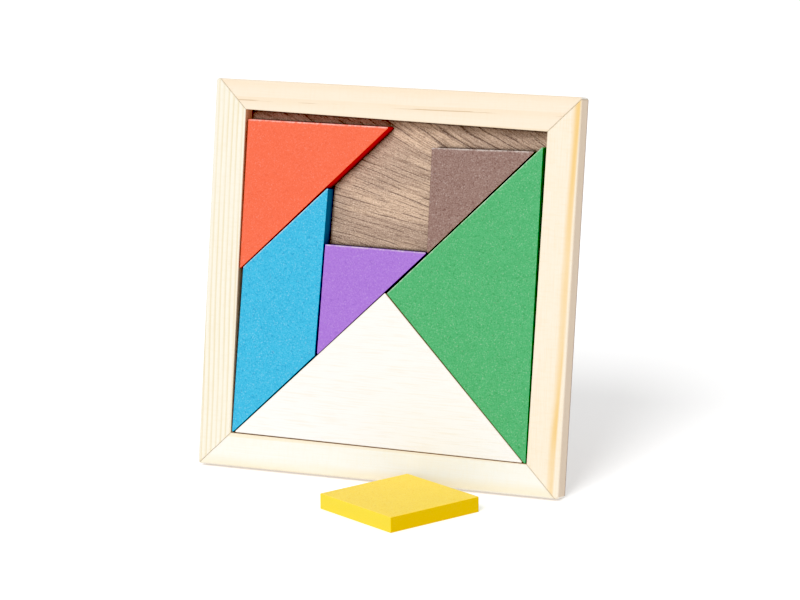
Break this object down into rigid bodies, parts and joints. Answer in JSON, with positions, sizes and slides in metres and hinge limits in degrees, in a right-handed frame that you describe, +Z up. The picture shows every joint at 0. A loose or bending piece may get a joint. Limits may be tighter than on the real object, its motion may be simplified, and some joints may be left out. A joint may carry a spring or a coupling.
{
  "type": "tangram puzzle",
  "caption": "Tangram puzzle: flat wooden triangles, a parallelogram and a square that lift in and out of a shallow square pine tray leaning back, the square loose in front.",
  "frame": {"origin": "on the table, in the middle of the ground that the leaning tray and the loose square tile cover together", "axes": "+X to the right along the tray's width, -Y towards the player, +Z up; the tray's face looks along -Y, tipped 10.1 degrees upwards"},
  "size_m": [0.12, 0.074, 0.1193],
  "materials": {
    "pine": "bare planed pine, matt",
    "walnut_board": "dark wood veneer, open grain, matt",
    "natural_wood": "bare pale plywood, sanded",
    "green_stain": "matt paint on plywood",
    "red_stain": "matt paint on plywood",
    "purple_stain": "matt paint on plywood",
    "brown_stain": "matt paint on plywood",
    "blue_stain": "matt paint on plywood",
    "yellow_stain": "matt paint on plywood"
  },
  "bodies": {
    "tray": {"frame_bottom": "pine", "frame_right": "pine", "frame_top": "pine", "frame_left": "pine", "back_panel": "walnut_board"},
    "large_triangle_natural": {"large_triangle_natural": "natural_wood"},
    "large_triangle_green": {"large_triangle_green": "green_stain"},
    "medium_triangle_red": {"medium_triangle_red": "red_stain"},
    "small_triangle_purple": {"small_triangle_purple": "purple_stain"},
    "small_triangle_brown": {"small_triangle_brown": "brown_stain"},
    "parallelogram_blue": {"parallelogram_blue": "blue_stain"},
    "square_yellow": {"square_yellow": "yellow_stain"}
  },
  "joints": [
    {"name": "large_triangle_natural_lift", "type": "slide", "parent": "tray", "child": "large_triangle_natural", "axis": [0, -0.9845, 0.1754], "range_m": [0, 0.03]},
    {"name": "large_triangle_green_lift", "type": "slide", "parent": "tray", "child": "large_triangle_green", "axis": [0, -0.9845, 0.1754], "range_m": [0, 0.03]},
    {"name": "medium_triangle_red_lift", "type": "slide", "parent": "tray", "child": "medium_triangle_red", "axis": [0, -0.9845, 0.1754], "range_m": [0, 0.03]},
    {"name": "small_triangle_purple_lift", "type": "slide", "parent": "tray", "child": "small_triangle_purple", "axis": [0, -0.9845, 0.1754], "range_m": [0, 0.03]},
    {"name": "small_triangle_brown_lift", "type": "slide", "parent": "tray", "child": "small_triangle_brown", "axis": [0, -0.9845, 0.1754], "range_m": [0, 0.03]},
    {"name": "parallelogram_blue_lift", "type": "slide", "parent": "tray", "child": "parallelogram_blue", "axis": [0, -0.9845, 0.1754], "range_m": [0, 0.03]},
    {"name": "square_yellow_slide", "type": "slide", "parent": "tray", "child": "square_yellow", "axis": [0, -1, 0], "range_m": [0, 0.05]}
  ]
}
